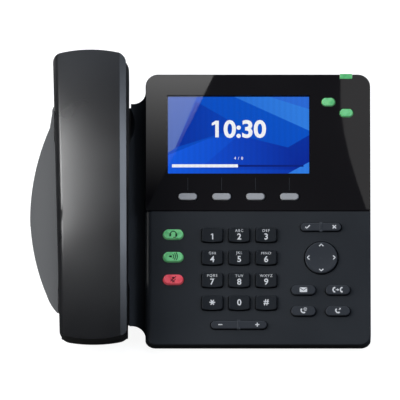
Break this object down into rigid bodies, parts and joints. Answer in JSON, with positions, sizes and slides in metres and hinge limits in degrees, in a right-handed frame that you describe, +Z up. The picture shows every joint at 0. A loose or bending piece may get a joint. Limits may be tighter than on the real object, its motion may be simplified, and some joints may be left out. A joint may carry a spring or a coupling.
{
  "type": "desk ip phone",
  "caption": "Reclined desk telephone with a colour display, keypad, corded-style handset in a side cradle, and a folding rear stand.",
  "frame": {"origin": "on the desk, under the middle of the phone's bounding box, with the stand open", "axes": "+X to the user's right across the face, +Y away from the user, +Z up"},
  "size_m": [0.2264, 0.1868, 0.1532],
  "materials": {
    "housing_plastic": "fine grain",
    "handset_plastic": "fine grain",
    "bezel_gloss": "polished",
    "lens_clear": "clear",
    "lcd_glass": "lit display",
    "steel": "plated",
    "speaker_body": "black",
    "lamp_green": "translucent",
    "silicone": "soft",
    "circuit_board": "solder mask",
    "jack_plastic": "moulded",
    "rubber": "soft",
    "key_plastic": "satin",
    "key_green": "translucent",
    "key_red": "translucent",
    "key_grey": "satin"
  },
  "bodies": {
    "base": {"upper_housing": "housing_plastic", "rear_housing": "housing_plastic", "display_bezel": "bezel_gloss", "display_lens": "lens_clear", "lcd_module": "lcd_glass", "lcd_bracket": "steel", "status_light": "lamp_green", "key_mat": "silicone", "key_board": "circuit_board", "main_board": "circuit_board", "loudspeaker": "speaker_body", "base_microphone": "steel", "hook_switch": "jack_plastic", "housing_screws": "steel", "network_jacks": "jack_plastic", "power_jack": "jack_plastic", "handset_jack": "jack_plastic", "headset_jack": "jack_plastic", "front_feet": "rubber", "stand_pins": "steel"},
    "handset": {"handset_outer_shell": "handset_plastic", "handset_inner_shell": "handset_plastic", "handset_receiver": "speaker_body", "handset_microphone": "steel", "handset_weight": "steel", "handset_socket": "jack_plastic", "handset_screws": "steel"},
    "stand": {"foot_stand": "housing_plastic", "stand_pad": "rubber"},
    "dial_key_1": {"dial_key_1": "key_plastic"},
    "dial_key_2": {"dial_key_2": "key_plastic"},
    "dial_key_3": {"dial_key_3": "key_plastic"},
    "dial_key_4": {"dial_key_4": "key_plastic"},
    "dial_key_5": {"dial_key_5": "key_plastic"},
    "dial_key_6": {"dial_key_6": "key_plastic"},
    "dial_key_7": {"dial_key_7": "key_plastic"},
    "dial_key_8": {"dial_key_8": "key_plastic"},
    "dial_key_9": {"dial_key_9": "key_plastic"},
    "dial_key_star": {"dial_key_star": "key_plastic"},
    "dial_key_0": {"dial_key_0": "key_plastic"},
    "dial_key_hash": {"dial_key_hash": "key_plastic"},
    "headset_key": {"headset_key": "key_green"},
    "speaker_key": {"speaker_key": "key_green"},
    "mute_key": {"mute_key": "key_red"},
    "message_key": {"message_key": "key_plastic"},
    "transfer_key": {"transfer_key": "key_plastic"},
    "call_log_key": {"call_log_key": "key_plastic"},
    "redial_key": {"redial_key": "key_plastic"},
    "soft_key_1": {"soft_key_1": "key_grey"},
    "soft_key_2": {"soft_key_2": "key_grey"},
    "soft_key_3": {"soft_key_3": "key_grey"},
    "soft_key_4": {"soft_key_4": "key_grey"},
    "line_key_1": {"line_key_1": "key_green"},
    "line_key_2": {"line_key_2": "key_green"},
    "ok_cancel_rocker": {"ok_cancel_rocker": "key_plastic"},
    "volume_rocker": {"volume_rocker": "key_plastic"},
    "nav_pad": {"nav_pad": "key_plastic"},
    "nav_pivot": {"nav_pivot": "key_plastic"},
    "hook_plunger": {"hook_plunger": "key_plastic"}
  },
  "joints": [
    {"name": "handset_lift", "type": "slide", "parent": "base", "child": "handset", "axis": [0, -0.6428, 0.766], "range_m": [0, 0.08]},
    {"name": "hook_travel", "type": "slide", "parent": "base", "child": "hook_plunger", "axis": [0, -0.6428, 0.766], "range_m": [0, 0.004]},
    {"name": "stand_fold", "type": "hinge", "parent": "base", "child": "stand", "pos_m": [0, 0.05242, 0.06492], "axis": [-1, 0, 0], "range_deg": [0, 75]},
    {"name": "ok_cancel_rock", "type": "hinge", "parent": "base", "child": "ok_cancel_rocker", "pos_m": [0.0802, -0.01133, 0.05672], "axis": [0, 0.766, 0.6428], "range_deg": [-2.5, 2.5], "stiffness_Nm_per_rad": 0.4},
    {"name": "volume_rock", "type": "hinge", "parent": "base", "child": "volume_rocker", "pos_m": [0.0256, -0.06304, 0.01334], "axis": [0, 0.766, 0.6428], "range_deg": [-2.5, 2.5], "stiffness_Nm_per_rad": 0.4},
    {"name": "nav_tilt_up", "type": "hinge", "parent": "base", "child": "nav_pivot", "pos_m": [0.0804, -0.02737, 0.04301], "axis": [1, 0, 0], "range_deg": [-3, 3], "stiffness_Nm_per_rad": 0.3},
    {"name": "nav_tilt_side", "type": "hinge", "parent": "nav_pivot", "child": "nav_pad", "pos_m": [0.0804, -0.02737, 0.04301], "axis": [0, 0.766, 0.6428], "range_deg": [-3, 3], "stiffness_Nm_per_rad": 0.3},
    {"name": "dial_key_1_press", "type": "slide", "parent": "base", "child": "dial_key_1", "axis": [0, 0.6428, -0.766], "range_m": [0, 0.0012], "stiffness_N_per_m": 300, "springref_m": -0.001},
    {"name": "dial_key_2_press", "type": "slide", "parent": "base", "child": "dial_key_2", "axis": [0, 0.6428, -0.766], "range_m": [0, 0.0012], "stiffness_N_per_m": 300, "springref_m": -0.001},
    {"name": "dial_key_3_press", "type": "slide", "parent": "base", "child": "dial_key_3", "axis": [0, 0.6428, -0.766], "range_m": [0, 0.0012], "stiffness_N_per_m": 300, "springref_m": -0.001},
    {"name": "dial_key_4_press", "type": "slide", "parent": "base", "child": "dial_key_4", "axis": [0, 0.6428, -0.766], "range_m": [0, 0.0012], "stiffness_N_per_m": 300, "springref_m": -0.001},
    {"name": "dial_key_5_press", "type": "slide", "parent": "base", "child": "dial_key_5", "axis": [0, 0.6428, -0.766], "range_m": [0, 0.0012], "stiffness_N_per_m": 300, "springref_m": -0.001},
    {"name": "dial_key_6_press", "type": "slide", "parent": "base", "child": "dial_key_6", "axis": [0, 0.6428, -0.766], "range_m": [0, 0.0012], "stiffness_N_per_m": 300, "springref_m": -0.001},
    {"name": "dial_key_7_press", "type": "slide", "parent": "base", "child": "dial_key_7", "axis": [0, 0.6428, -0.766], "range_m": [0, 0.0012], "stiffness_N_per_m": 300, "springref_m": -0.001},
    {"name": "dial_key_8_press", "type": "slide", "parent": "base", "child": "dial_key_8", "axis": [0, 0.6428, -0.766], "range_m": [0, 0.0012], "stiffness_N_per_m": 300, "springref_m": -0.001},
    {"name": "dial_key_9_press", "type": "slide", "parent": "base", "child": "dial_key_9", "axis": [0, 0.6428, -0.766], "range_m": [0, 0.0012], "stiffness_N_per_m": 300, "springref_m": -0.001},
    {"name": "dial_key_star_press", "type": "slide", "parent": "base", "child": "dial_key_star", "axis": [0, 0.6428, -0.766], "range_m": [0, 0.0012], "stiffness_N_per_m": 300, "springref_m": -0.001},
    {"name": "dial_key_0_press", "type": "slide", "parent": "base", "child": "dial_key_0", "axis": [0, 0.6428, -0.766], "range_m": [0, 0.0012], "stiffness_N_per_m": 300, "springref_m": -0.001},
    {"name": "dial_key_hash_press", "type": "slide", "parent": "base", "child": "dial_key_hash", "axis": [0, 0.6428, -0.766], "range_m": [0, 0.0012], "stiffness_N_per_m": 300, "springref_m": -0.001},
    {"name": "headset_key_press", "type": "slide", "parent": "base", "child": "headset_key", "axis": [0, 0.6428, -0.766], "range_m": [0, 0.0012], "stiffness_N_per_m": 300, "springref_m": -0.001},
    {"name": "speaker_key_press", "type": "slide", "parent": "base", "child": "speaker_key", "axis": [0, 0.6428, -0.766], "range_m": [0, 0.0012], "stiffness_N_per_m": 300, "springref_m": -0.001},
    {"name": "mute_key_press", "type": "slide", "parent": "base", "child": "mute_key", "axis": [0, 0.6428, -0.766], "range_m": [0, 0.0012], "stiffness_N_per_m": 300, "springref_m": -0.001},
    {"name": "message_key_press", "type": "slide", "parent": "base", "child": "message_key", "axis": [0, 0.6428, -0.766], "range_m": [0, 0.0012], "stiffness_N_per_m": 300, "springref_m": -0.001},
    {"name": "transfer_key_press", "type": "slide", "parent": "base", "child": "transfer_key", "axis": [0, 0.6428, -0.766], "range_m": [0, 0.0012], "stiffness_N_per_m": 300, "springref_m": -0.001},
    {"name": "call_log_key_press", "type": "slide", "parent": "base", "child": "call_log_key", "axis": [0, 0.6428, -0.766], "range_m": [0, 0.0012], "stiffness_N_per_m": 300, "springref_m": -0.001},
    {"name": "redial_key_press", "type": "slide", "parent": "base", "child": "redial_key", "axis": [0, 0.6428, -0.766], "range_m": [0, 0.0012], "stiffness_N_per_m": 300, "springref_m": -0.001},
    {"name": "soft_key_1_press", "type": "slide", "parent": "base", "child": "soft_key_1", "axis": [0, 0.6428, -0.766], "range_m": [0, 0.0012], "stiffness_N_per_m": 300, "springref_m": -0.001},
    {"name": "soft_key_2_press", "type": "slide", "parent": "base", "child": "soft_key_2", "axis": [0, 0.6428, -0.766], "range_m": [0, 0.0012], "stiffness_N_per_m": 300, "springref_m": -0.001},
    {"name": "soft_key_3_press", "type": "slide", "parent": "base", "child": "soft_key_3", "axis": [0, 0.6428, -0.766], "range_m": [0, 0.0012], "stiffness_N_per_m": 300, "springref_m": -0.001},
    {"name": "soft_key_4_press", "type": "slide", "parent": "base", "child": "soft_key_4", "axis": [0, 0.6428, -0.766], "range_m": [0, 0.0012], "stiffness_N_per_m": 300, "springref_m": -0.001},
    {"name": "line_key_1_press", "type": "slide", "parent": "base", "child": "line_key_1", "axis": [0, 0.6428, -0.766], "range_m": [0, 0.0012], "stiffness_N_per_m": 300, "springref_m": -0.001},
    {"name": "line_key_2_press", "type": "slide", "parent": "base", "child": "line_key_2", "axis": [0, 0.6428, -0.766], "range_m": [0, 0.0012], "stiffness_N_per_m": 300, "springref_m": -0.001}
  ],
  "couplings": [
    {"joint": "hook_travel", "follows": "handset_lift", "ratio": 0.05}
  ]
}
